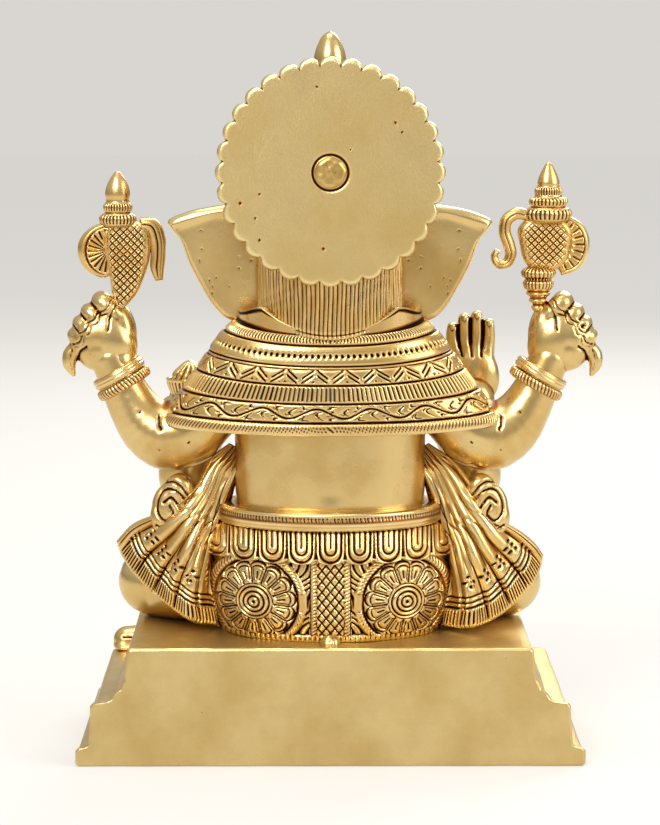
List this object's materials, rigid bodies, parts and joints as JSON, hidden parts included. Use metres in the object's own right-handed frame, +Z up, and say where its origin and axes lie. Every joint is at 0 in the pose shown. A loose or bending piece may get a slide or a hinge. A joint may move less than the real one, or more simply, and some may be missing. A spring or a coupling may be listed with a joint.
{
  "type": "seated deity statue",
  "caption": "Cast brass seated elephant-headed deity with halo, raised arms, patterned shawl and pleated sash ends, on a stepped hollow pedestal.",
  "frame": {"origin": "middle of the pedestal's foot, on the surface that it stands on", "axes": "+Z up, +Y towards the back of the figure, +X towards the figure's own left side"},
  "size_m": [0.2318, 0.135, 0.305],
  "materials": {
    "satin_brass": "satin, sand-cast",
    "polished_brass": "polished, lightly worn",
    "chased_brass": "chased, with dark patina in the grooves",
    "pin_brass": "turned and peened",
    "steel": "plain zinc-plated"
  },
  "bodies": {
    "root": {"barrel_emblem": "chased_brass", "barrel_emblem_finial": "chased_brass", "crown": "chased_brass", "crown_finial": "chased_brass", "hair_panel": "chased_brass", "halo": "satin_brass", "halo_rivet": "pin_brass", "hatched_emblem": "chased_brass", "hatched_emblem_finial": "chased_brass", "head": "polished_brass", "hips_casting": "chased_brass", "left_ear": "polished_brass", "left_foot": "polished_brass", "left_front_arm": "polished_brass", "left_front_bangle": "chased_brass", "left_front_hand": "polished_brass", "left_leg": "polished_brass", "left_lower_bangle": "chased_brass", "left_rear_arm": "polished_brass", "left_rear_hand": "polished_brass", "left_sash_fan": "chased_brass", "left_sash_fold": "chased_brass", "left_tusk": "polished_brass", "left_upper_bangle": "chased_brass", "mounting_studs": "steel", "mouse": "chased_brass", "necklace": "chased_brass", "offering_bowl": "polished_brass", "offering_sweet": "polished_brass", "pedestal_back_plate": "satin_brass", "pedestal_casting": "satin_brass", "petal_band": "chased_brass", "rear_lug": "satin_brass", "right_ear": "polished_brass", "right_foot": "polished_brass", "right_front_arm": "polished_brass", "right_front_bangle": "chased_brass", "right_front_hand": "polished_brass", "right_leg": "polished_brass", "right_lower_bangle": "chased_brass", "right_rear_arm": "polished_brass", "right_rear_hand": "polished_brass", "right_sash_fan": "chased_brass", "right_sash_fold": "chased_brass", "right_tusk": "polished_brass", "right_upper_bangle": "chased_brass", "shawl": "chased_brass", "shoulder_pins": "pin_brass", "stud_nuts": "steel", "stud_washers": "steel", "torso_casting": "polished_brass", "trunk": "polished_brass", "waist_belt": "chased_brass"}
  },
  "joints": []
}
